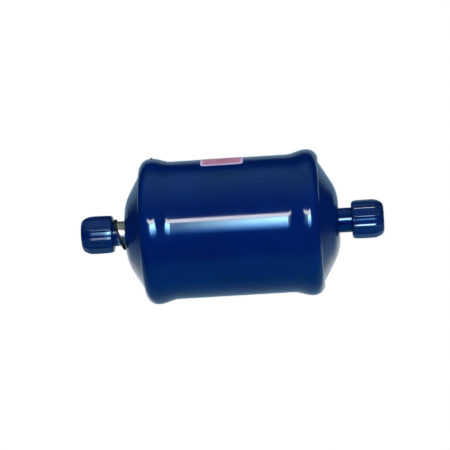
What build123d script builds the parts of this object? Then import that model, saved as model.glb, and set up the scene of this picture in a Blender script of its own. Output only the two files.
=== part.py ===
from build123d import *
import os
from math import atan2, cos, radians, sin, sqrt, tan

# Inline filter drier with flare connections, its transport caps screwed on.
# Millimetres. X is the flow axis, inlet at -X and outlet at +X. +Z is up.
# The origin is on the axis, midway between the outer ends of the two caps.

# Housing tube, belled at both ends and rolled in over the heads
body_length = 96.0            # over the flat centres of the two heads
waist_radius = 31.0
tube_wall = 1.2
bell_rise = 1.8               # how far a belled end stands out from the waist
bell_ramp = 6.0               # axial length of the slope up to the bell
bell_flat = 0.5               # straight stretch of the bell, which holds the edge of the head
waist_blend = 8.0
crest_blend = 10.0
lip_reach = 3.6               # how far the rolled lip reaches in over the head
lip_round = 0.45

# Heads, pressed from sheet
head_wall = 1.5
head_shoulder = 3.8           # outside radius at the rim
dome_slope = 30.3             # degrees between the cone and the flat centre
dome_flat_radius = 13.1       # where cone and flat centre would meet
dome_blend = 20.0

# Flare fittings, 7/16-20 thread
thread_radius = 5.556
bore_radius = 2.4
fitting_flange_radius = 7.3
fitting_flange = 1.5
nose_gap_to_cap_end = 3.15    # from the nose of the fitting to the outer end of the cap
nose_radius = 3.0
seat_radius = 4.9             # large end of the 45 degree sealing cone
thread_chamfer = 0.65
inner_chamfer = 0.5

# Screw caps
neck_showing = 5.5            # fitting left in view between head and cap
cap_length = 14.5
cap_radius = 8.3              # between the ribs
cap_rib_height = 0.45
cap_rib_round = 0.85          # radius of a rib's crest
cap_rib_count = 12
cap_rib_phase = 17.0          # degrees
cap_mouth_round = 1.2
cap_taper = 4.4               # axial length of the tapered end
cap_taper_drop = 2.15         # how far the taper comes in at the end
cap_taper_blend = 5.0
cap_end_round = 2.2
cap_end_wall = 1.6
cap_mouth_lead = 0.5
cap_seal_edge = 0.3

# Loose ring on the inlet neck
ring_inner_radius = 6.5
ring_outer_radius = 7.25
ring_thickness = 0.9
ring_tilt = 14.0              # degrees, foot towards the head
ring_swing = 8.0              # degrees, seen from above

# Label
label_length = 18.9
label_centre = -2.65
label_width = 30.0            # around the tube
label_thickness = 0.08
label_turn = 36.0             # degrees from straight up, towards +Y

# Inner pieces
rim_seal_width = 2.0          # along the slope of the bell
core_side_gap = 3.4           # between the core and the tube
core_length = 58.0
core_bore_radius = 9.0
core_bore_depth = 40.0
core_edge = 1.5
plate_wall = 1.2
plate_inset = 3.05            # from the inside of the head's rim
plate_hole_radius = 1.5
plate_hole_pitch = 6.0
plate_hole_rings = 2
pad_thickness = 2.2
outlet_pad_inset = 10.9       # in from the side of the core
inlet_pad_inset = 2.4
spring_radius = 12.0          # to the middle of the wire
spring_wire_radius = 0.9
spring_half_turns = 6         # open ones, between the closed turns at the ends
spring_closed_half_turns = 2  # at each end
spring_plate_inset = 3.4      # in from the side of the core
spring_boss_rise = 2.0
spring_plate_bend = 1.8
spring_plate_hole_radius = 2.2
spring_plate_hole_circle = 17.5
spring_plate_holes = 6
screen_wall = 0.4
screen_radius = 3.6
screen_depth = 4.6
screen_taper = 0.8
screen_flange_radius = 6.6
screen_bend = 0.8

# Clearances
seat_gap = 0.05               # between pieces that are clamped or brazed together
running_gap = 0.06            # between a cap's thread and the fitting's
loose_gap = 0.3
seal_gap = 0.15               # between a rim seal and the slope of the bell

# Places that follow from the sizes above
head_x = body_length / 2
mouth_x = head_x + neck_showing
cap_end_x = mouth_x + cap_length
nose_x = cap_end_x - nose_gap_to_cap_end
crest_radius = waist_radius + bell_rise
head_radius = crest_radius - tube_wall - seat_gap
head_inner_radius = head_radius - head_wall
slope = radians(dome_slope)
core_radius = waist_radius - tube_wall - core_side_gap
plate_radius = head_inner_radius - plate_inset
outlet_pad_radius = core_radius - outlet_pad_inset
inlet_pad_radius = core_radius - inlet_pad_inset
spring_plate_radius = core_radius - spring_plate_inset


def cone_x(radius, inward=0.0):
    """Axial place of the head's cone at a radius, or of a surface that lies inward of it."""
    return head_x - (radius - dome_flat_radius) * tan(slope) - inward / cos(slope)


def head_inside_x(radius):
    """Axial place of the head's inner face at a radius, on its flat, its blend or its cone."""
    blend_start = dome_flat_radius - dome_blend * tan(slope / 2)
    inner_blend = dome_blend - head_wall
    blend_end = blend_start + inner_blend * sin(slope)
    if radius <= blend_start:
        return head_x - head_wall
    if radius <= blend_end:
        return head_x - dome_blend + sqrt(inner_blend**2 - (radius - blend_start) ** 2)
    return cone_x(radius, head_wall)


head_corner_x = cone_x(head_radius)
shoulder_x = head_corner_x - head_shoulder * tan((radians(90) - slope) / 2)
skirt_x = shoulder_x - bell_flat
lip_corner_x = cone_x(crest_radius, -tube_wall - seat_gap)
lip_radius = crest_radius - lip_reach
lip_x = cone_x(lip_radius, -tube_wall - seat_gap)
ramp_angle = atan2(bell_rise, bell_ramp)
ramp_top_x = skirt_x - crest_blend * tan(ramp_angle / 2)
ramp_foot_x = ramp_top_x - bell_ramp

flange_x = head_x - head_wall - fitting_flange
plate_x = head_inside_x(plate_radius) - plate_wall - seat_gap
core_out_x = plate_x - pad_thickness
core_in_x = core_out_x - core_length
spring_plate_x = core_in_x - pad_thickness - plate_wall
spring_foot_x = -head_inside_x(spring_radius + spring_wire_radius) + seat_gap
cap_bore_radius = thread_radius + running_gap
cap_floor_x = cap_end_x - cap_end_wall


def turned(*points):
    """A solid of revolution about X from the corners (x, radius) of its section."""
    return revolve(make_face(Polyline(*points, close=True)), Axis.X)


def sheet_section(points, bends, wall):
    """The section of a pressed sheet: a bent line, thickened towards the axis."""
    line = FilletPolyline(*points, radius=bends)
    return make_face(offset(line, amount=wall, side=Side.RIGHT))


def on_inlet(piece):
    return mirror(piece, about=Plane.YZ)


def shell_tube():
    half = [
        (ramp_foot_x, waist_radius),
        (ramp_top_x, crest_radius),
        (lip_corner_x, crest_radius),
        (lip_x, lip_radius),
    ]
    other_half = [(-x, radius) for x, radius in reversed(half)]
    bends = [waist_blend, crest_blend, head_shoulder + tube_wall + seat_gap]
    section = sheet_section(other_half + half, bends[::-1] + bends, tube_wall)
    lip_corners = section.vertices().filter_by(lambda corner: corner.Y < lip_radius + seat_gap)
    section = fillet(lip_corners, lip_round)
    return revolve(section, Axis.X)


def outlet_head():
    points = [
        (skirt_x, head_radius),
        (head_corner_x, head_radius),
        (head_x, dome_flat_radius),
        (head_x, thread_radius + seat_gap),
    ]
    return revolve(sheet_section(points, [head_shoulder, dome_blend], head_wall), Axis.X)


def outlet_rim_seal():
    """Ring wedged between the slope inside the bell and the edge of the head."""
    wide_radius = crest_radius - tube_wall / cos(ramp_angle) - seal_gap
    narrow_radius = wide_radius - rim_seal_width * tan(ramp_angle)
    return turned(
        (ramp_top_x - rim_seal_width, head_inner_radius),
        (ramp_top_x - rim_seal_width, narrow_radius),
        (ramp_top_x, wide_radius),
        (skirt_x - seat_gap, wide_radius),
        (skirt_x - seat_gap, head_inner_radius),
    )


def outlet_fitting():
    cone_start_x = nose_x - (seat_radius - nose_radius)
    thread_end_x = cone_start_x - thread_chamfer
    flange_face_x = head_x - head_wall - seat_gap
    return turned(
        (flange_x, bore_radius + inner_chamfer),
        (flange_x, fitting_flange_radius),
        (flange_face_x, fitting_flange_radius),
        (flange_face_x, thread_radius),
        (thread_end_x, thread_radius),
        (cone_start_x, seat_radius),
        (nose_x, nose_radius),
        (nose_x, bore_radius),
        (flange_x + inner_chamfer, bore_radius),
    )


def cap_envelope():
    """What the ribbed bar of a cap is cut back to: a rounded mouth and a tapered, rounded end."""
    radius = cap_radius + cap_rib_height
    start = (mouth_x, 0)
    corners = [
        start,
        (mouth_x, radius),
        (cap_end_x - cap_taper, radius),
        (cap_end_x, radius - cap_taper_drop),
        (cap_end_x, 0),
    ]
    outline = FilletPolyline(*corners, radius=[cap_mouth_round, cap_taper_blend, cap_end_round])
    section = make_face(outline + Line((cap_end_x, 0), start))
    return revolve(section, Axis.X)


def outlet_cap():
    crest_centre = cap_radius + cap_rib_height - cap_rib_round
    ribs = PolarLocations(crest_centre, cap_rib_count, start_angle=cap_rib_phase) * Circle(cap_rib_round)
    ribbed = extrude(Circle(cap_radius) + ribs, cap_length)
    ribbed_bar = Pos(mouth_x, 0, 0) * Rot(0, 90, 0) * ribbed
    bore = turned(
        (mouth_x, 0),
        (mouth_x, cap_bore_radius + cap_mouth_lead),
        (mouth_x + cap_mouth_lead, cap_bore_radius),
        (cap_floor_x, cap_bore_radius),
        (cap_floor_x, 0),
    )
    return (ribbed_bar & cap_envelope()) - bore


def outlet_cap_seal():
    start_x = nose_x + seat_gap
    end_x = cap_floor_x - seat_gap
    radius = cap_bore_radius - loose_gap
    return turned(
        (start_x, 0),
        (start_x, radius - cap_seal_edge),
        (start_x + cap_seal_edge, radius),
        (end_x, radius),
        (end_x, 0),
    )


def neck_ring():
    """Flat ring hanging on the inlet neck, its foot swung towards the head."""
    ring = Rot(0, 90, 0) * (
        Cylinder(ring_outer_radius, ring_thickness) - Cylinder(ring_inner_radius, ring_thickness)
    )
    drop = ring_inner_radius * cos(radians(ring_tilt)) - thread_radius - seat_gap
    drop -= ring_thickness / 2 * sin(radians(ring_tilt))
    middle_x = head_x + neck_showing / 2
    return Pos(-middle_x, 0, -drop) * Rot(0, -ring_tilt, ring_swing) * ring


def body_label():
    sheet = Cylinder(waist_radius + label_thickness, label_length)
    sheet -= Cylinder(waist_radius, label_length)
    half_turn = label_width / waist_radius / 2
    reach = waist_radius * 2
    wedge = make_face(
        Polyline(
            (0, 0),
            (reach, -reach * tan(half_turn)),
            (reach, reach * tan(half_turn)),
            close=True,
        )
    )
    patch = sheet & extrude(wedge, label_length / 2, both=True)
    return Pos(label_centre, 0, 0) * Rot(-label_turn, 0, 0) * Rot(0, -90, 0) * patch


def core_spring():
    """Compression spring from the inlet head to its plate, its end turns closed and ground flat."""
    length = spring_plate_x - spring_foot_x
    closed_rise = spring_wire_radius + seat_gap
    open_rise = length - spring_wire_radius - 2 * spring_closed_half_turns * closed_rise
    closed = [closed_rise] * spring_closed_half_turns
    rises = closed + [open_rise / spring_half_turns] * spring_half_turns + closed
    start = Vector(spring_foot_x + spring_wire_radius / 2, 0, spring_radius)
    ahead = Vector(0, 1, 0)
    turns = []
    for rise in rises:
        end = Vector(start.X + rise, 0, -start.Z)
        middle = (start + end) / 2
        wire_end = Plane(origin=start, z_dir=ahead) * Circle(spring_wire_radius)
        turns.append(revolve(wire_end, Axis(middle, (start - middle).cross(ahead)), 180))
        start = end
        ahead = -ahead
    keep = Pos(spring_foot_x, 0, 0) * Rot(0, 90, 0) * Cylinder(
        spring_radius * 2, length, align=(Align.CENTER, Align.CENTER, Align.MIN)
    )
    return turns[0].fuse(*turns[1:]) & keep


def spring_plate():
    """Pressed disc that centres the spring and bears on the core."""
    boss_radius = spring_radius - spring_wire_radius - loose_gap
    points = [
        (spring_plate_x + plate_wall, spring_plate_radius),
        (spring_plate_x + plate_wall, boss_radius - plate_wall),
        (spring_plate_x + plate_wall - spring_boss_rise, boss_radius - plate_wall),
        (spring_plate_x + plate_wall - spring_boss_rise, 0),
    ]
    plate = revolve(sheet_section(points, [spring_plate_bend / 2, spring_plate_bend / 2], plate_wall), Axis.X)
    hole = Pos(spring_plate_x, 0, spring_plate_hole_circle) * Rot(0, 90, 0) * Cylinder(
        spring_plate_hole_radius, 4 * plate_wall
    )
    step = 360 / spring_plate_holes
    holes = [Rot(step * i, 0, 0) * hole for i in range(spring_plate_holes)]
    return plate - Compound(children=holes)


def disc(start_x, thickness, radius, hole_radius=0.0):
    end_x = start_x + thickness
    return turned(
        (start_x, hole_radius),
        (start_x, radius),
        (end_x, radius),
        (end_x, hole_radius),
    )


def desiccant_core():
    """Moulded block, bored from its outlet end."""
    return turned(
        (core_in_x, 0),
        (core_in_x, core_radius - core_edge),
        (core_in_x + core_edge, core_radius),
        (core_out_x - core_edge, core_radius),
        (core_out_x, core_radius - core_edge),
        (core_out_x, core_bore_radius),
        (core_out_x - core_bore_depth, core_bore_radius),
        (core_out_x - core_bore_depth - core_bore_radius * tan(slope), 0),
    )


def perforated_plate():
    """Disc that carries the core, its rim bevelled to the head's cone."""
    rim_radius = plate_radius + plate_wall / tan(slope)
    plate = turned(
        (plate_x, 0),
        (plate_x, rim_radius),
        (plate_x + plate_wall, plate_radius),
        (plate_x + plate_wall, 0),
    )
    hole = Pos(plate_x + plate_wall / 2, 0, 0) * Rot(0, 90, 0) * Cylinder(plate_hole_radius, 2 * plate_wall)
    holes = [hole]
    for ring in range(1, plate_hole_rings + 1):
        for i in range(6 * ring):
            holes.append(Rot(60 * i / ring, 0, 0) * Pos(0, 0, plate_hole_pitch * ring) * hole)
    return plate - Compound(children=holes)


def outlet_screen():
    """Fine strainer thimble on the inner end of the outlet fitting."""
    foot_x = flange_x - seat_gap
    points = [
        (foot_x, screen_flange_radius),
        (foot_x, screen_radius),
        (foot_x - screen_depth, screen_radius - screen_taper),
        (foot_x - screen_depth, 0),
    ]
    return revolve(sheet_section(points, [screen_bend, screen_bend], screen_wall), Axis.X)


pieces = {
    "shell_tube": shell_tube(),
    "inlet_head": on_inlet(outlet_head()),
    "outlet_head": outlet_head(),
    "inlet_rim_seal": on_inlet(outlet_rim_seal()),
    "outlet_rim_seal": outlet_rim_seal(),
    "inlet_fitting": on_inlet(outlet_fitting()),
    "outlet_fitting": outlet_fitting(),
    "inlet_cap": on_inlet(outlet_cap()),
    "outlet_cap": outlet_cap(),
    "inlet_cap_seal": on_inlet(outlet_cap_seal()),
    "outlet_cap_seal": outlet_cap_seal(),
    "neck_ring": neck_ring(),
    "body_label": body_label(),
    "core_spring": core_spring(),
    "spring_plate": spring_plate(),
    "inlet_pad": disc(core_in_x - pad_thickness, pad_thickness, inlet_pad_radius),
    "desiccant_core": desiccant_core(),
    "core_gasket": disc(core_out_x, pad_thickness, core_radius, outlet_pad_radius + loose_gap),
    "outlet_pad": disc(core_out_x, pad_thickness, outlet_pad_radius),
    "perforated_plate": perforated_plate(),
    "outlet_screen": outlet_screen(),
}

os.makedirs("parts", exist_ok=True)
for name, piece in pieces.items():
    export_step(piece, f"parts/{name}.step")
    print(name, round(piece.volume, 1), "mm3")
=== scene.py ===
from math import atan2, cos, degrees, exp, floor, pi, radians, sin, sqrt

import bmesh
import bpy
from mathutils import Euler, Matrix, Vector
from mathutils import noise as roughNoise


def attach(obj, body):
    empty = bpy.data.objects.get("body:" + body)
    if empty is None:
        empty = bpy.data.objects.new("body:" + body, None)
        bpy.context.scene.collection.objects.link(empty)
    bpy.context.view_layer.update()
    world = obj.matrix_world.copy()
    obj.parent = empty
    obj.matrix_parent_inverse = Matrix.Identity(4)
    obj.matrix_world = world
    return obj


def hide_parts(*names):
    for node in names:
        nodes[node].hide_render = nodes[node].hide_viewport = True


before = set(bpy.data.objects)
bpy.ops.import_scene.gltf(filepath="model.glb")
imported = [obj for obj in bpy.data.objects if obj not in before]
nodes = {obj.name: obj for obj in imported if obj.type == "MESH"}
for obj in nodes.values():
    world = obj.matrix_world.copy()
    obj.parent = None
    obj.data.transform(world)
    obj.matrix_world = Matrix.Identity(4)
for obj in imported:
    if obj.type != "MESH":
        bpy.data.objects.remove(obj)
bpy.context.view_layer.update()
scene = bpy.context.scene
mm = 0.001
print("frame loaded:", len(nodes), "nodes")

# A long lens, above the front and a little towards the outlet
cameraSetup = {
    "lens": 180.0,
    "sensor": 36.0,
    "nearest": 0.05,
    "farthest": 60.0,
    "distance": 1.010,
    "elevation": 35.0,
    "outletSide": 0.051,
    "outletRise": 3.48,      # degrees that the outlet end rises in view
    "aimLeft": 0.00337,
    "aimUp": 0.00083,
}


def makeCamera(setup):
    data = bpy.data.cameras.new("camera")
    data.lens = setup["lens"]
    data.sensor_width = setup["sensor"]
    data.clip_start = setup["nearest"]
    data.clip_end = setup["farthest"]
    tilt, distance = radians(setup["elevation"]), setup["distance"]
    away = Vector((setup["outletSide"], -distance * cos(tilt), distance * sin(tilt)))
    look = -away.normalized()
    right = look.cross(Vector((0, 0, 1))).normalized()
    up = right.cross(look)
    roll = radians(setup["outletRise"]) - atan2(up.x, right.x)
    rolledRight = right * cos(roll) - up * sin(roll)
    rolledUp = right * sin(roll) + up * cos(roll)
    camera = bpy.data.objects.new("camera", data)
    camera.matrix_world = Matrix((rolledRight, rolledUp, -look)).transposed().to_4x4()
    camera.location = away + rolledUp * setup["aimUp"] - rolledRight * setup["aimLeft"]
    scene.collection.objects.link(camera)
    scene.camera = camera


makeCamera(cameraSetup)
print("camera placed")


# Short ways to build a node tree
def newMaterial(name):
    material = bpy.data.materials.new(name)
    material.use_nodes = True
    tree = material.node_tree
    return material, tree, tree.nodes["Principled BSDF"]


def addNode(tree, kind, inputs=None, **settings):
    node = tree.nodes.new(kind)
    for key, value in settings.items():
        setattr(node, key, value)
    for key, value in (inputs or {}).items():
        if isinstance(value, bpy.types.NodeSocket):
            tree.links.new(value, node.inputs[key])
        else:
            node.inputs[key].default_value = value
    return node


def whereOn(tree):
    return addNode(tree, "ShaderNodeTexCoord").outputs["Object"]


def noise(tree, where, scale, detail=2.0):
    inputs = {"Vector": where, "Scale": scale, "Detail": detail}
    return addNode(tree, "ShaderNodeTexNoise", inputs).outputs["Fac"]


def streaks(tree, stretch, detail):
    # noise with its own scale along each axis
    inputs = {"Vector": whereOn(tree), "Scale": stretch}
    stretched = addNode(tree, "ShaderNodeMapping", inputs).outputs["Vector"]
    return noise(tree, stretched, 1.0, detail)


def cells(tree, where, scale):
    inputs = {"Vector": where, "Scale": scale}
    return addNode(tree, "ShaderNodeTexVoronoi", inputs).outputs["Distance"]


def span(tree, value, low, high, toLow=0.0, toHigh=1.0):
    inputs = {"Value": value, "From Min": low, "From Max": high, "To Min": toLow, "To Max": toHigh}
    settings = {"interpolation_type": "SMOOTHSTEP"}
    return addNode(tree, "ShaderNodeMapRange", inputs, **settings).outputs["Result"]


def patches(tree, where, spec, toLow=0.0, toHigh=1.0):
    # spec: the noise's scale and detail, and the two values that the change runs between
    scale, detail, low, high = spec
    return span(tree, noise(tree, where, scale, detail), low, high, toLow, toHigh)


def reckon(tree, operation, *values):
    return addNode(tree, "ShaderNodeMath", dict(enumerate(values)), operation=operation).outputs[0]


def reachAlong(tree, where, direction):
    inputs = {0: where, 1: direction}
    node = addNode(tree, "ShaderNodeVectorMath", inputs, operation="DOT_PRODUCT")
    return node.outputs["Value"]


def mix(tree, factor, first, second):
    node = addNode(tree, "ShaderNodeMix", data_type="RGBA")
    for index, value in ((0, factor), (6, first), (7, second)):
        if isinstance(value, bpy.types.NodeSocket):
            tree.links.new(value, node.inputs[index])
        else:
            node.inputs[index].default_value = value if index == 0 else (*value, 1.0)
    return node.outputs[2]


def bump(tree, height, strength, depth):
    inputs = {"Height": height, "Strength": strength, "Distance": depth * mm}
    return addNode(tree, "ShaderNodeBump", inputs).outputs["Normal"]


def axes(tree, vector):
    return addNode(tree, "ShaderNodeSeparateXYZ", {"Vector": vector}).outputs


def connect(tree, shader, **sockets):
    for name, value in sockets.items():
        socket = shader.inputs[name.replace("_", " ")]
        if isinstance(value, bpy.types.NodeSocket):
            tree.links.new(value, socket)
        else:
            socket.default_value = value


def dress(material, *names):
    for name in names:
        slots = nodes[name].data.materials
        slots.clear()
        slots.append(material)


# Short ways to build a mesh
def meshObject(name, points, faces, material, sharp=35.0):
    mesh = bpy.data.meshes.new(name)
    mesh.from_pydata(points, [], faces)
    shape = bmesh.new()
    shape.from_mesh(mesh)
    bmesh.ops.recalc_face_normals(shape, faces=shape.faces)
    shape.to_mesh(mesh)
    shape.free()
    mesh.shade_smooth()
    mesh.set_sharp_from_angle(angle=radians(sharp))
    mesh.materials.append(material)
    result = bpy.data.objects.new(name, mesh)
    scene.collection.objects.link(result)
    return result


def addPiece(name, points, faces, material, body, replaced, sharp=35.0):
    piece = meshObject(name, points, faces, material, sharp)
    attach(piece, body)
    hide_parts(replaced)
    return piece


def gridFaces(rows, columns, first=0, loopRows=False):
    # quads between rings of points that each close on themselves
    faces = []
    for row in range(rows if loopRows else rows - 1):
        for i in range(columns):
            j = (i + 1) % columns
            start, end = first + row * columns, first + (row + 1) % rows * columns
            faces.append((start + i, start + j, end + j, end + i))
    return faces


def sheetFaces(rows, columns):
    # quads of an open sheet, whose rows have one point more than there are columns
    wide = columns + 1
    corners = [row * wide + column for row in range(rows) for column in range(columns)]
    return [(a, a + 1, a + wide + 1, a + wide) for a in corners]


def clamp(value):
    return min(max(value, 0.0), 1.0)


# Gloss enamel on the tube and the heads, with a pale painted reflection along the edge of the
# tube's rolled lips
enamel = {
    "colour": (0.0000, 0.0058, 0.0490),
    "thinColour": (0.0002, 0.0078, 0.0610),
    "thinPatches": (45.0, 3.0, 0.35, 0.70),
    "edgeReflectionColour": (0.055, 0.115, 0.150),
    "edgeStart": 39.45,
    "edgeFull": 39.65,
    "edgeScale": 500.0,
    "edgeRagged": 0.2,
    "reflectionHiddenToward": (0, -0.82, 0.57),        # the painted reflection on the lip's edge is left out where the lip faces this way
    "reflectionHiddenFrom": 27.2,
    "reflectionHiddenTo": 28.7,
    "roughness": (0.07, 0.12),
    "hazePatches": (160.0, 4.0, 0.3, 0.8),
    "peelScale": 380.0,
    "peelBump": (0.25, 0.02),
    "ior": 1.5,
}


def enamelTone(tree, where, setup):
    cloud = patches(tree, where, setup["thinPatches"])
    return mix(tree, cloud, setup["colour"], setup["thinColour"])


# A pale line painted along the rounded edge of the lips: a painted reflection, not wear, left out
# where the lip faces front and up
def edgeReflection(tree, where, setup):
    reach = reckon(tree, "ABSOLUTE", axes(tree, where)["X"])
    rough = noise(tree, where, setup["edgeScale"])
    ragged = reckon(tree, "MULTIPLY_ADD", rough, setup["edgeRagged"] * mm, reach)
    middle = setup["edgeRagged"] / 2
    start, full = (setup["edgeStart"] + middle) * mm, (setup["edgeFull"] + middle) * mm
    edge = span(tree, ragged, start, full)
    facing = reachAlong(tree, where, setup["reflectionHiddenToward"])
    # no painted reflection where the lip faces front and up
    bare = span(tree, facing, setup["reflectionHiddenFrom"] * mm, setup["reflectionHiddenTo"] * mm, 1.0, 0.0)
    return reckon(tree, "MULTIPLY", edge, bare)


def enamelMaterial(name, setup, worn):
    material, tree, shader = newMaterial(name)
    where = whereOn(tree)
    tone = enamelTone(tree, where, setup)
    # worn here turns on the painted reflection along the lips' edge, not wear
    if worn:
        tone = mix(tree, edgeReflection(tree, where, setup), tone, setup["edgeReflectionColour"])
    connect(
        tree,
        shader,
        Base_Color=tone,
        Roughness=patches(tree, where, setup["hazePatches"], *setup["roughness"]),
        Normal=bump(tree, noise(tree, where, setup["peelScale"]), *setup["peelBump"]),
        IOR=setup["ior"],
    )
    return material


dress(enamelMaterial("tubeEnamel", enamel, True), "shell_tube")
dress(enamelMaterial("headEnamel", enamel, False), "inlet_head", "outlet_head")

# A pip of dried paint on top of the inlet bell
nib = {
    "along": -34.5,
    "radius": 32.8,
    "turn": 31.0,            # degrees from straight up, towards the back
    "reach": 1.1,
    "height": 0.5,
    "spread": 0.5,
    "sink": 0.05,            # how deep its rim goes into the enamel
    "rings": 8,
    "columns": 20,
    "colour": (0.003, 0.004, 0.008),
    "roughness": (0.25, 0.45),
    "crust": (1800.0, 3.0),
    "crustTone": (0.4, 0.7),
    "crustDull": (0.3, 0.7),
    "crustBump": (0.4, 0.05),
}


def nibMaterial(setup):
    material, tree, shader = newMaterial("driedPaint")
    crust = noise(tree, whereOn(tree), *setup["crust"])
    worn = span(tree, crust, *setup["crustTone"])
    connect(
        tree,
        shader,
        Base_Color=mix(tree, worn, setup["colour"], enamel["colour"]),
        Roughness=span(tree, crust, *setup["crustDull"], *setup["roughness"]),
        Normal=bump(tree, crust, *setup["crustBump"]),
    )
    return material


def makeNib(setup):
    x, radius, turn = setup["along"], setup["radius"], radians(setup["turn"])
    rings, columns = setup["rings"], setup["columns"]
    out = Vector((0, sin(turn), cos(turn)))
    across = Vector((0, cos(turn), -sin(turn)))
    points = [(Vector((x, 0, 0)) + out * (radius + setup["height"])) * mm]
    for ring in range(1, rings + 1):
        reach = setup["reach"] * ring / rings
        rise = setup["height"] * exp(-((reach / setup["spread"]) ** 2))
        rise -= setup["sink"] * ring / rings
        for i in range(columns):
            way = 2 * pi * i / columns
            side = reach * sin(way)
            height = sqrt(radius**2 - side**2) + rise
            place = Vector((x + reach * cos(way), 0, 0)) + across * side + out * height
            points.append(place * mm)
    faces = [(0, 1 + i, 1 + (i + 1) % columns) for i in range(columns)]
    faces += gridFaces(rings, columns, first=1)
    piece = meshObject("paintNib", points, faces, nibMaterial(setup), 60.0)
    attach(piece, "drier")


makeNib(nib)
print("housing painted")

# Turned steel fittings with their threads; the neck is painted, the rest bare
fitting = {
    "columns": 96,
    "rowsPerTurn": 12,
    "innerFace": 45.0,
    "flangeRadius": 7.3,
    "flangeEnd": 46.45,
    "radius": 5.556,
    "runIn": 0.1,            # gap between the plain neck and the first turn
    "threadStart": 54.2,
    "threadEnd": 62.3,
    "pitch": 1.27,
    "crestFlat": 0.125,      # crest and flank in half pitches, depth in pitches
    "flank": 0.625,
    "threadDepth": 0.613,
    "coneStart": 62.95,
    "coneRadius": 4.9,
    "nose": 64.85,
    "noseRadius": 3.0,
    "bore": 2.4,
    "boreEdge": 0.5,
    "edgeBreak": 0.12,
    "steel": (0.95, 0.59, 0.56),
    "stainShade": 0.72,
    "stainPatches": (420.0, 4.0, 0.35, 0.8),
    "steelRoughness": (0.27, 0.43),
    "grooves": (2600.0, 20.0, 20.0),
    "grooveDetail": 3.0,
    "grooveDull": (0.3, 0.7),
    "grooveBump": (0.2, 0.01),
    "bareEnd": {-1: 51.6, 1: 47.0},    # inlet and outlet: bare steel up to here, then paint
    "bareEndFade": (0.2, 0.3),
    "paintEnd": 54.0,
    "paintEndFade": (0.2, 0.35),
    "paintScale": 700.0,
    "paintRagged": 0.5,
}


def threadRadius(setup, x, turn):
    # a 60 degree thread, right-handed along +X at both ends
    pitch = setup["pitch"]
    share = x / pitch - turn / (2 * pi)
    away = abs(share - floor(share) - 0.5) * 2
    cut = clamp((away - setup["crestFlat"]) / setup["flank"])
    fadeIn = clamp((abs(x) - setup["threadStart"]) / pitch)
    return setup["radius"] - setup["threadDepth"] * pitch * cut * fadeIn


def fittingProfile(setup):
    # distance from the middle and radius, with None where the thread gives the radius
    edge, bore, radius = setup["edgeBreak"], setup["bore"], setup["radius"]
    inner, flange, end = setup["innerFace"], setup["flangeRadius"], setup["flangeEnd"]
    nose, noseRadius = setup["nose"], setup["noseRadius"]
    start, length = setup["threadStart"], setup["threadEnd"] - setup["threadStart"]
    steps = int(length / setup["pitch"] * setup["rowsPerTurn"])
    return [
        (inner, bore + setup["boreEdge"]),
        (inner, flange - edge),
        (inner + edge, flange),
        (end - edge, flange),
        (end, flange - edge),
        (end, radius),
        (start - setup["runIn"], radius),
        *((start + length * step / steps, None) for step in range(steps + 1)),
        (setup["coneStart"], setup["coneRadius"]),
        (nose - edge, noseRadius + edge),
        (nose, noseRadius - edge),
        (nose, bore + edge),
        (nose - edge, bore),
        (inner + setup["boreEdge"], bore),
    ]


def fittingMaterial(name, side, setup):
    material, tree, shader = newMaterial(name + "Finish")
    where = whereOn(tree)
    reach = reckon(tree, "ABSOLUTE", axes(tree, where)["X"])
    rough = noise(tree, where, setup["paintScale"])
    ragged = reckon(tree, "MULTIPLY_ADD", rough, setup["paintRagged"] * mm, reach)
    bareEnd, paintEnd = setup["bareEnd"][side], setup["paintEnd"]
    startFade = [(bareEnd + fade) * mm for fade in setup["bareEndFade"]]
    endFade = [(paintEnd + fade) * mm for fade in setup["paintEndFade"]]
    started = span(tree, ragged, *startFade)
    ended = span(tree, ragged, *endFade, 1.0, 0.0)
    painted = reckon(tree, "MULTIPLY", started, ended)
    metal = reckon(tree, "SUBTRACT", 1.0, painted)
    stain = patches(tree, where, setup["stainPatches"])
    bare = mix(tree, stain, setup["steel"], [setup["stainShade"] * c for c in setup["steel"]])
    turning = streaks(tree, setup["grooves"], setup["grooveDetail"])
    dull = span(tree, turning, *setup["grooveDull"], *setup["steelRoughness"])
    connect(
        tree,
        shader,
        Base_Color=mix(tree, painted, bare, enamelTone(tree, where, enamel)),
        Metallic=metal,
        Roughness=reckon(tree, "MULTIPLY_ADD", metal, dull, enamel["roughness"][0]),
        Normal=bump(tree, turning, *setup["grooveBump"]),
        IOR=enamel["ior"],
    )
    return material


def makeFitting(name, side, body, replaced, setup):
    profile, columns = fittingProfile(setup), setup["columns"]
    points = []
    for x, radius in profile:
        for i in range(columns):
            turn = 2 * pi * i / columns
            r = threadRadius(setup, side * x, turn) if radius is None else radius
            points.append((side * x * mm, r * cos(turn) * mm, r * sin(turn) * mm))
    faces = gridFaces(len(profile), columns, loopRows=True)
    material = fittingMaterial(name, side, setup)
    addPiece(name, points, faces, material, body, replaced, 25.0)


makeFitting("inletFitting", -1, "drier", "inlet_fitting", fitting)
makeFitting("outletFitting", 1, "drier", "outlet_fitting", fitting)
print("fittings turned")

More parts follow.
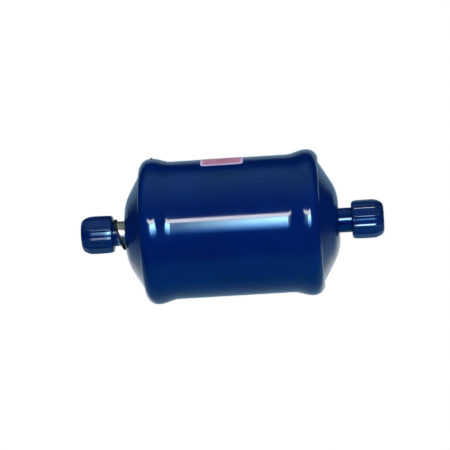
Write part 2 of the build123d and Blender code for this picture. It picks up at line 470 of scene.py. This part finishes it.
# Moulded screw caps: twelve low ribs on a barrel that rounds over at the closed end
cap = {
    "mouth": 53.5,
    "length": 14.5,
    "outline": [             # distance from the mouth, radius over the ribs
        (0.0, 6.9), (0.15, 7.55), (0.5, 8.15), (1.1, 8.5), (2.2, 8.65), (4.5, 8.72),
        (7.5, 8.75), (9.3, 8.73), (10.6, 8.6), (11.6, 8.3), (12.6, 7.85), (13.4, 7.35),
        (14.0, 6.75), (14.35, 6.0), (14.5, 5.2), (14.5, 2.6), (14.5, 0.02),
    ],
    "stepsPerSpan": 4,
    "ribs": 12,
    "ribPhase": {-1: 41.0, 1: 17.0},    # degrees, inlet and outlet cap as they were screwed home
    "ribWidth": 3.7,         # degrees from a rib's crest to where it has dropped by two thirds
    "ribDepth": 0.38,
    "ribStart": 0.2,         # the ribs grow from here, over the next length
    "ribGrowth": 1.2,
    "ribEndRadius": 5.4,     # and die out at this radius on the closed end
    "ribEndFade": 2.0,
    "columnsPerRib": 20,
    "bore": 5.616,
    "lead": 0.5,
    "floor": 12.9,
    "floorMiddle": 0.02,
    "floorCorner": 0.1,
    "threadEnd": 11.5,
    "threadDepth": 0.3,
    "threadSharpness": 0.9,
    "threadRows": 8,         # rows of points to a turn of thread
    "pitch": 1.27,
    "colour": (0.0003, 0.0058, 0.0470),
    "worn": (0.0012, 0.0110, 0.0640),
    "flow": (40.0, 160.0, 160.0),
    "flowDetail": 4.0,
    "flowTone": (0.4, 0.8),
    "roughness": (0.12, 0.20),
    "scuffPatches": (300.0, 4.0, 0.35, 0.75),
    "grainScale": 850.0,
    "grainBump": (0.3, 0.02),
    "ior": 1.65,
}


def smoothLine(corners, steps):
    # a curve that passes through every corner
    line = []
    for i in range(len(corners) - 1):
        four = [Vector(corners[min(max(i + k, 0), len(corners) - 1)]) for k in (-1, 0, 1, 2)]
        for step in range(steps):
            u = step / steps
            line.append(
                four[1]
                + (four[2] - four[0]) * 0.5 * u
                + (four[0] - four[1] * 2.5 + four[2] * 2 - four[3] * 0.5) * u**2
                + (four[1] * 1.5 - four[0] * 0.5 - four[2] * 1.5 + four[3] * 0.5) * u**3
            )
    line.append(Vector(corners[-1]))
    return line


def capMaterial(setup):
    material, tree, shader = newMaterial("capPlastic")
    where = whereOn(tree)
    flow = span(tree, streaks(tree, setup["flow"], setup["flowDetail"]), *setup["flowTone"])
    connect(
        tree,
        shader,
        Base_Color=mix(tree, flow, setup["colour"], setup["worn"]),
        Roughness=patches(tree, where, setup["scuffPatches"], *setup["roughness"]),
        Normal=bump(tree, noise(tree, where, setup["grainScale"]), *setup["grainBump"]),
        IOR=setup["ior"],
    )
    return material


def ribShare(setup, side, turn):
    # 1 on a crest, 0 between ribs
    pitch = 360.0 / setup["ribs"]
    off = (turn - setup["ribPhase"][side] + pitch / 2) % pitch - pitch / 2
    return exp(-((off / setup["ribWidth"]) ** 2))


def capRows(setup):
    # distance from the mouth, radius, what shapes the row, and how strongly
    bore, lead, end = setup["bore"], setup["lead"], setup["threadEnd"]
    rows = []
    for x, radius in smoothLine(setup["outline"], setup["stepsPerSpan"]):
        fade = clamp((x - setup["ribStart"]) / setup["ribGrowth"])
        fade *= clamp((radius - setup["ribEndRadius"]) / setup["ribEndFade"])
        rows.append((min(x, setup["length"]), radius, "rib", fade * fade * (3 - 2 * fade)))
    for radius in (setup["floorMiddle"], bore - setup["floorCorner"]):
        rows.append((setup["floor"], radius, "plain", 0))
    count = int((end - lead) / setup["pitch"] * setup["threadRows"])
    for row in range(count + 1):
        x = end + (lead - end) * row / count
        rows.append((x, bore, "thread", min(1.0, row / setup["threadRows"])))
    rows.append((0.0, bore + lead, "plain", 0))
    return rows


def makeCap(name, side, body, replaced, setup, material):
    rows, columns = capRows(setup), setup["ribs"] * setup["columnsPerRib"]
    points = []
    for x, radius, kind, share in rows:
        reach = side * (setup["mouth"] + x)
        for i in range(columns):
            turn = 2 * pi * i / columns
            r = radius
            if kind == "rib":
                r -= setup["ribDepth"] * share * (1 - ribShare(setup, side, degrees(turn)))
            if kind == "thread":
                wave = cos(2 * pi * reach / setup["pitch"] - turn)
                r += setup["threadDepth"] * share * clamp(0.5 + setup["threadSharpness"] * wave)
            points.append((reach * mm, r * cos(turn) * mm, r * sin(turn) * mm))
    faces = gridFaces(len(rows), columns, loopRows=True)
    addPiece(name, points, faces, material, body, replaced, 40.0)


capFinish = capMaterial(cap)
makeCap("inletScrewCap", -1, "inlet_cap", "inlet_cap", cap, capFinish)
makeCap("outletScrewCap", 1, "outlet_cap", "outlet_cap", cap, capFinish)
print("caps moulded")

# Black ring that hangs on the inlet neck
neckRing = {
    "columns": 96,
    "rows": 16,
    "radius": 6.875,
    "halfWidth": 0.58,
    "halfHeight": 0.45,
    "squareness": 0.75,
    "centre": (-50.75, 0.0, -0.5921),
    "tilt": 14.0,
    "swing": 8.0,
}

# Rubber of the ring and of the seals
rubber = {
    "colour": (0.006, 0.005, 0.006),
    "bloom": 2.2,            # how many times paler the bloomed patches are
    "bloomPatches": (220.0, 4.0, 0.45, 0.85),
    "roughness": (0.5, 0.65),
    "dullPatches": (500.0, 2.0, 0.3, 0.7),
    "grainScale": 1400.0,
    "grainBump": (0.3, 0.02),
    "specular": 0.2,
}


def rubberMaterial(setup):
    material, tree, shader = newMaterial("blackRubber")
    where = whereOn(tree)
    bloom = patches(tree, where, setup["bloomPatches"])
    pale = [setup["bloom"] * c for c in setup["colour"]]
    connect(
        tree,
        shader,
        Base_Color=mix(tree, bloom, setup["colour"], pale),
        Roughness=patches(tree, where, setup["dullPatches"], *setup["roughness"]),
        Normal=bump(tree, noise(tree, where, setup["grainScale"]), *setup["grainBump"]),
        Specular_IOR_Level=setup["specular"],
    )
    return material


def squared(value, power):
    return abs(value) ** power * (1 if value >= 0 else -1)


def makeRing(setup, material):
    lean = Euler((0, radians(-setup["tilt"]), radians(setup["swing"])), "XYZ")
    pose = Matrix.Translation(Vector(setup["centre"])) @ lean.to_matrix().to_4x4()
    points = []
    for i in range(setup["columns"]):
        turn = 2 * pi * i / setup["columns"]
        for j in range(setup["rows"]):
            way = 2 * pi * j / setup["rows"]
            x = setup["halfWidth"] * squared(cos(way), setup["squareness"])
            r = setup["radius"] + setup["halfHeight"] * squared(sin(way), setup["squareness"])
            points.append(pose @ Vector((x, r * cos(turn), r * sin(turn))) * mm)
    faces = gridFaces(setup["columns"], setup["rows"], loopRows=True)
    addPiece("neckRing", points, faces, material, "drier", "neck_ring")


blackRubber = rubberMaterial(rubber)
makeRing(neckRing, blackRubber)
dress(blackRubber, "inlet_cap_seal", "outlet_cap_seal", "inlet_rim_seal", "outlet_rim_seal")
print("ring and seals made")

# Wordless label on the tube: a pink field inside a pale border
label = {
    "tubeRadius": 31.0,
    "thickness": 0.08,
    "centre": -2.65,
    "length": 18.9,
    "width": 30.0,
    "turn": 36.0,            # degrees from straight up, towards the back
    "corner": 1.6,
    "rows": 72,
    "columns": 40,
    "field": (0.275, 0.100, 0.155),
    "fieldWorn": (0.330, 0.135, 0.200),
    "wornPatches": (260.0, 3.0, 0.35, 0.75),
    "edge": (0.37, 0.29, 0.43),
    "fieldStart": 0.85,      # the border ends and the field is full at these distances inwards
    "fieldFull": 1.05,
    "fieldCorner": 1.2,
    "roughness": (0.42, 0.52),
    "satinPatches": (500.0, 2.0, 0.3, 0.7),
    "fibre": (1500.0, 3.0),
    "fibreBump": (0.15, 0.02),
}


def labelMaterial(setup):
    material, tree, shader = newMaterial("labelPaper")
    where = whereOn(tree)
    radius, turn = setup["tubeRadius"], radians(setup["turn"])
    halfLength = setup["length"] / 2 * mm
    halfWidth = radius * sin(setup["width"] / radius / 2) * mm
    lengthwise = reckon(tree, "SUBTRACT", axes(tree, where)["X"], setup["centre"] * mm)
    crosswise = reachAlong(tree, where, (0, cos(turn), -sin(turn)))
    fromEnd = reckon(tree, "SUBTRACT", halfLength, reckon(tree, "ABSOLUTE", lengthwise))
    fromSide = reckon(tree, "SUBTRACT", halfWidth, reckon(tree, "ABSOLUTE", crosswise))
    inwards = reckon(tree, "SMOOTH_MIN", fromEnd, fromSide, setup["fieldCorner"] * mm)
    printed = span(tree, inwards, setup["fieldStart"] * mm, setup["fieldFull"] * mm)
    worn = patches(tree, where, setup["wornPatches"])
    field = mix(tree, worn, setup["field"], setup["fieldWorn"])
    connect(
        tree,
        shader,
        Base_Color=mix(tree, printed, setup["edge"], field),
        Roughness=patches(tree, where, setup["satinPatches"], *setup["roughness"]),
        Normal=bump(tree, noise(tree, where, *setup["fibre"]), *setup["fibreBump"]),
    )
    return material


def makeLabel(setup):
    half, corner = setup["width"] / 2, setup["corner"]
    rows, columns = setup["rows"], setup["columns"]
    points = []
    for layer in (setup["thickness"], 0.0):
        radius = setup["tubeRadius"] + layer
        for row in range(rows + 1):
            across = -half + 2 * half * row / rows
            over = max(0.0, abs(across) - (half - corner))
            reach = setup["length"] / 2 - corner + sqrt(max(0.0, corner**2 - over**2))
            turn = radians(setup["turn"]) + across / setup["tubeRadius"]
            for column in range(columns + 1):
                x = setup["centre"] + reach * (2 * column / columns - 1)
                points.append((x * mm, radius * sin(turn) * mm, radius * cos(turn) * mm))
    wide = columns + 1
    under = (rows + 1) * wide
    faces = []
    for a, b, c, d in sheetFaces(rows, columns):
        faces += [(a, b, c, d), (under + a, under + d, under + c, under + b)]
    rim = [*range(columns), *(columns + row * wide for row in range(rows))]
    rim += [rows * wide + columns - i for i in range(columns)]
    rim += [(rows - row) * wide for row in range(rows)]
    faces += [(a, b, b + under, a + under) for a, b in zip(rim, rim[1:] + rim[:1])]
    paper = labelMaterial(setup)
    addPiece("tubeLabel", points, faces, paper, "drier", "body_label")


makeLabel(label)
print("label laid on")

# Bonded fibre pads on both sides of the core
pads = {
    "columns": 120,
    "rings": 26,
    "middle": 0.01,
    "edgeRound": 0.6,
    "lumps": 0.16,           # how deep the surface dips between tufts
    "lumpScale": 0.45,
    "colour": (0.62, 0.60, 0.53),
    "shade": (0.42, 0.40, 0.33),
    "strands": (900.0, 260.0, 2400.0),
    "crossed": (900.0, 2400.0, 260.0),
    "strandDetail": 5.0,
    "strandTone": (0.45, 0.70),
    "strandBump": (0.6, 0.15),
    "shadePatches": (120.0, 3.0, 0.4, 0.8),
    "shadeShare": (0.0, 0.35),
    "roughness": 0.95,
    "sheen": 0.2,
    "fill": 0.9,
    "outline": {             # inlet side, thickness, hole, radius
        "inlet_pad": (-25.51, 2.2, 0.0, 24.0),
        "core_gasket": (34.69, 2.2, 15.8, 26.4),
        "outlet_pad": (34.69, 2.2, 0.0, 15.5),
    },
}


def feltMaterial(setup):
    material, tree, shader = newMaterial("bondedFibre")
    where = whereOn(tree)
    strands = streaks(tree, setup["strands"], setup["strandDetail"])
    crossed = streaks(tree, setup["crossed"], setup["strandDetail"])
    fibre = reckon(tree, "MAXIMUM", strands, crossed)
    tone = mix(tree, span(tree, fibre, *setup["strandTone"]), setup["shade"], setup["colour"])
    shaded = patches(tree, where, setup["shadePatches"], *setup["shadeShare"])
    connect(
        tree,
        shader,
        Base_Color=mix(tree, shaded, tone, setup["shade"]),
        Roughness=setup["roughness"],
        Normal=bump(tree, fibre, *setup["strandBump"]),
        Sheen_Weight=setup["sheen"],
    )
    return material


def makePad(name, start, thickness, hole, radius, setup, material):
    edge, rings, columns = setup["edgeRound"], setup["rings"], setup["columns"]
    inner = max(hole, setup["middle"])
    outline = []
    for far in (False, True):
        for i in range(rings + 1) if far else range(rings, -1, -1):
            r = inner + (radius - inner) * i / rings
            short = max(0.0, r - (radius - edge))
            if hole:
                short = max(short, hole + edge - r)
            depth = edge - sqrt(max(0.0, edge**2 - short**2))
            outline.append((start + thickness - depth if far else start + depth, r, far))
    points = []
    for x, r, far in outline:
        for i in range(columns):
            turn = 2 * pi * i / columns
            y, z = r * cos(turn), r * sin(turn)
            lump = roughNoise.noise(Vector((x, y, z)) * setup["lumpScale"])
            dip = setup["lumps"] * (0.5 + 0.5 * lump)
            points.append(((x - dip if far else x + dip) * mm, y * mm, z * mm))
    faces = gridFaces(len(outline), columns, loopRows=True)
    title = name.replace("_", "") + "Felt"
    piece = addPiece(title, points, faces, material, "drier", name, 60.0)


felt = feltMaterial(pads)
for name, outline in pads["outline"].items():
    makePad(name, *outline, pads, felt)
print("pads laid")

# Plain steel of the spring and the plates
steel = {
    "colour": (0.50, 0.50, 0.49),
    "oilShade": 0.7,
    "oilPatches": (90.0, 4.0, 0.4, 0.8),
    "drawn": (120.0, 120.0, 1500.0),
    "drawnDetail": 3.0,
    "drawnDull": (0.3, 0.7),
    "drawnBump": (0.15, 0.02),
    "roughness": (0.24, 0.44),
}


def steelMaterial(setup):
    material, tree, shader = newMaterial("pressedSteel")
    drawn = streaks(tree, setup["drawn"], setup["drawnDetail"])
    oil = patches(tree, whereOn(tree), setup["oilPatches"])
    oiled = [setup["oilShade"] * c for c in setup["colour"]]
    connect(
        tree,
        shader,
        Base_Color=mix(tree, oil, setup["colour"], oiled),
        Metallic=1.0,
        Roughness=span(tree, drawn, *setup["drawnDull"], *setup["roughness"]),
        Normal=bump(tree, drawn, *setup["drawnBump"]),
    )
    return material


# The strainer's weave, its holes painted dark as shade
screen = {
    "wires": 2.6,            # to a millimetre
    "colour": (0.45, 0.44, 0.42),
    "holeShadeColour": (0.05, 0.05, 0.05),
    "wireTone": (-0.2, 0.6),
    "wireBump": (0.8, 0.05),
    "roughness": 0.35,
}


def screenMaterial(setup):
    material, tree, shader = newMaterial("wovenWire")
    scale = setup["wires"] / mm * 2 * pi
    place = axes(tree, whereOn(tree))
    slant = reckon(tree, "ADD", place["X"], place["Y"])
    back = reckon(tree, "SUBTRACT", place["Z"], place["X"])
    warp = reckon(tree, "SINE", reckon(tree, "MULTIPLY", slant, scale))
    weft = reckon(tree, "SINE", reckon(tree, "MULTIPLY", back, scale))
    weave = reckon(tree, "MAXIMUM", warp, weft)
    wire = span(tree, weave, *setup["wireTone"])
    connect(
        tree,
        shader,
        Base_Color=mix(tree, wire, setup["holeShadeColour"], setup["colour"]),
        Metallic=1.0,
        Roughness=setup["roughness"],
        Normal=bump(tree, weave, *setup["wireBump"]),
    )
    return material


# The moulded core, beads bonded with small pores between them; the pores and the edges of the
# beads are darkened, a painted shade
core = {
    "colour": (0.55, 0.46, 0.34),
    "recessShadeColour": (0.36, 0.29, 0.20),
    "beadScale": 900.0,
    "beadTone": (0.1, 0.6),
    "pores": (350.0, 5.0),
    "poreTone": (0.45, 0.8, 0.0, 0.5),
    "reliefBump": (0.7, 0.2),
    "roughness": 0.9,
}


def coreMaterial(setup):
    material, tree, shader = newMaterial("mouldedDesiccant")
    where = whereOn(tree)
    beads = cells(tree, where, setup["beadScale"])
    pores = noise(tree, where, *setup["pores"])
    tone = mix(tree, span(tree, beads, *setup["beadTone"]), setup["colour"], setup["recessShadeColour"])
    relief = reckon(tree, "SUBTRACT", pores, beads)
    connect(
        tree,
        shader,
        Base_Color=mix(tree, span(tree, pores, *setup["poreTone"]), tone, setup["recessShadeColour"]),
        Roughness=setup["roughness"],
        Normal=bump(tree, relief, *setup["reliefBump"]),
    )
    return material


dress(steelMaterial(steel), "core_spring", "spring_plate", "perforated_plate")
dress(screenMaterial(screen), "outlet_screen")
dress(coreMaterial(core), "desiccant_core")
print("inner pieces finished")

# Studio: a white closed bowl for the camera, and a larger pale one that only gives soft light back
studio = {
    "seenBowl": {
        "floorDrop": 1.5, "floorReach": 2.0, "wallReach": 4.0, "wallRise": 2.75, "turn": 180.0,
    },
    "lightBowl": {
        "floorDrop": 0.30, "floorReach": 3.0, "wallReach": 6.0, "wallRise": 4.0, "turn": 90.0,
    },
    "middle": 0.01,
    "ringSteps": 48,
    "curveSteps": 12,
    "paper": (0.93, 0.93, 0.93, 1),
    "paperRoughness": 0.9,
    "paperSpecular": 0.1,
    "glowColour": (1, 1, 1, 1),
    "glow": 1.0,
}


def studioBowl(name, setup, seen):
    size = setup[name]
    low, count = -size["floorDrop"], setup["ringSteps"]
    bend = size["wallReach"] - size["floorReach"]
    profile = [(setup["middle"], low), (size["floorReach"], low)]
    for step in range(1, setup["curveSteps"] + 1):
        turn = radians(size["turn"]) * step / setup["curveSteps"]
        reach = size["floorReach"] + bend * sin(turn)
        profile.append((reach, low + size["wallRise"] * (1 - cos(turn))))
    if seen:
        profile.append((setup["middle"], profile[-1][1]))
    turns = [2 * pi * i / count for i in range(count)]
    points = [(r * cos(turn), r * sin(turn), height) for r, height in profile for turn in turns]
    faces = [tuple(range(count)), *gridFaces(len(profile), count)]
    if seen:
        faces.append(tuple(range(len(points) - count, len(points))))
    material, tree, shader = newMaterial("whitePaper" if seen else "palePaper")
    connect(
        tree,
        shader,
        Base_Color=setup["paper"],
        Roughness=setup["paperRoughness"],
        Specular_IOR_Level=setup["paperSpecular"],
    )
    if seen:
        connect(tree, shader, Emission_Color=setup["glowColour"], Emission_Strength=setup["glow"])
    bowl = meshObject(name, points, faces, material)
    bowl.visible_glossy = False
    bowl.visible_camera = seen
    bowl.visible_diffuse = not seen
    bowl.visible_shadow = not seen


# What gloss reflects: a lit ceiling behind, a pale table below and a dim room between.
# Heights and sides are parts of the direction looked in, from none to full
room = {
    "horizon": (0.004, 0.008, 0.010),
    "overhead": (0.15, 0.36, 0.25),
    "overheadRise": (0.42, 0.80),
    "overheadBehind": (-0.55, 0.45),
    "below": (0.01, 0.21, 0.42),
    "belowBehind": (0.27, 0.44, 0.58),
    "belowTurns": (-0.5, 0.7),
    "tableEdge": (-0.18, -0.45),
    "edgeLift": (0.5, 1.0, 0.0, 0.36),    # the table's edge lies higher at the back
    "edgeDrop": 0.15,                     # and lower to the sides
    "belowAside": (0.92, 1.02, 1.08),
    "asideSides": (0.08, 0.30),
    "asideBehind": (0.35, 0.62),
    "asideDepth": (-0.45, -0.65),
}


def surroundings(setup):
    world = bpy.data.worlds.new("studio")
    scene.world = world
    world.use_nodes = True
    world.cycles_visibility.diffuse = False
    tree = world.node_tree
    way = axes(tree, addNode(tree, "ShaderNodeTexCoord").outputs["Generated"])
    above = span(tree, way["Z"], *setup["overheadRise"])
    behind = span(tree, way["Y"], *setup["overheadBehind"])
    lift = span(tree, way["Y"], *setup["edgeLift"])
    sideways = reckon(tree, "MULTIPLY", way["X"], way["X"])
    drop = reckon(tree, "MULTIPLY", sideways, setup["edgeDrop"])
    level = reckon(tree, "ADD", reckon(tree, "SUBTRACT", way["Z"], lift), drop)
    under = span(tree, level, *setup["tableEdge"])
    turned = span(tree, way["Y"], *setup["belowTurns"])
    table = mix(tree, turned, setup["below"], setup["belowBehind"])
    aside = span(tree, reckon(tree, "ABSOLUTE", way["X"]), *setup["asideSides"])
    back = span(tree, way["Y"], *setup["asideBehind"])
    far = reckon(tree, "MULTIPLY", back, span(tree, way["Z"], *setup["asideDepth"]))
    table = mix(tree, reckon(tree, "MULTIPLY", aside, far), table, setup["belowAside"])
    lit = reckon(tree, "MULTIPLY", above, behind)
    tone = mix(tree, lit, setup["horizon"], setup["overhead"])
    tree.links.new(mix(tree, under, tone, table), tree.nodes["Background"].inputs["Color"])


# Soft lamps that light the part but leave no reflection
fill = {"lamps": 4, "power": 27.0, "size": 2.2, "distance": 2.6, "lift": 55.0, "firstTurn": 45.0}


def fillLamp(number, setup):
    data = bpy.data.lights.new(f"fill{number}", "AREA")
    data.shape = "SQUARE"
    data.size = setup["size"]
    data.energy = setup["power"]
    lamp = bpy.data.objects.new(f"fill{number}", data)
    turn = radians(setup["firstTurn"] + 360 / setup["lamps"] * number)
    lift = radians(setup["lift"])
    way = Vector((sin(turn) * cos(lift), -cos(turn) * cos(lift), sin(lift)))
    lamp.location = way * setup["distance"]
    lamp.rotation_euler = way.to_track_quat("Z", "Y").to_euler()
    lamp.visible_glossy = False
    lamp.visible_camera = False
    scene.collection.objects.link(lamp)


# Bent cards of light in front: angles in degrees, left to right from the camera side,
# low to high from eye height
cardSheet = {"distance": 1.7, "columns": 24, "rows": 12}
glowCards = {
    "stripCard": {
        "left": -31.0, "right": 26.0, "low": 46.5, "high": 52.6, "glow": 16.5, "fade": 0.15,
        "growFrom": -40.0, "growTo": 0.0, "leastShare": 0.5,
        "lowTint": (0.75, 0.88, 1.0), "highTint": (0.95, 0.97, 1.0),
    },
    "softCard": {
        "left": -20.0, "right": 26.0, "low": 25.0, "high": 46.5, "glow": 36.0, "fade": 0.90,
        "growFrom": -7.0, "growTo": 0.0, "leastShare": 0.10,
        "lowTint": (0.03, 0.33, 1.0), "highTint": (0.42, 0.78, 1.0),
    },
}


def cardMaterial(name, setup):
    material, tree, shader = newMaterial(name)
    tree.nodes.remove(shader)
    across = axes(tree, addNode(tree, "ShaderNodeTexCoord").outputs["UV"])
    wide = setup["right"] - setup["left"]
    growFrom, growTo = ((setup[key] - setup["left"]) / wide for key in ("growFrom", "growTo"))
    least = setup["leastShare"] * setup["glow"]
    rise = span(tree, across["Y"], 0.0, setup["fade"])
    grown = span(tree, across["X"], growFrom, growTo, least, setup["glow"])
    tone = mix(tree, rise, setup["lowTint"], setup["highTint"])
    inputs = {"Color": tone, "Strength": reckon(tree, "MULTIPLY", rise, grown)}
    light = addNode(tree, "ShaderNodeEmission", inputs).outputs[0]
    tree.links.new(light, tree.nodes["Material Output"].inputs["Surface"])
    return material


def glowCard(name, setup, sheet):
    columns, rows = sheet["columns"], sheet["rows"]
    points = []
    for row in range(rows + 1):
        lift = radians(setup["low"] + (setup["high"] - setup["low"]) * row / rows)
        for column in range(columns + 1):
            turn = radians(setup["left"] + (setup["right"] - setup["left"]) * column / columns)
            way = Vector((sin(turn) * cos(lift), -cos(turn) * cos(lift), sin(lift)))
            points.append(way * sheet["distance"])
    mesh = bpy.data.meshes.new(name)
    mesh.from_pydata(points, [], sheetFaces(rows, columns))
    spread = mesh.uv_layers.new(name="sheet")
    for loop in mesh.loops:
        row, column = divmod(loop.vertex_index, columns + 1)
        spread.data[loop.index].uv = (column / columns, row / rows)
    mesh.materials.append(cardMaterial(name, setup))
    card = bpy.data.objects.new(name, mesh)
    scene.collection.objects.link(card)
    card.visible_camera = False


studioBowl("seenBowl", studio, True)
studioBowl("lightBowl", studio, False)
surroundings(room)
for number in range(fill["lamps"]):
    fillLamp(number, fill)
for name, setup in glowCards.items():
    glowCard(name, setup, cardSheet)
scene.view_settings.view_transform = "Standard"
scene.view_settings.look = "None"
print("studio lit")
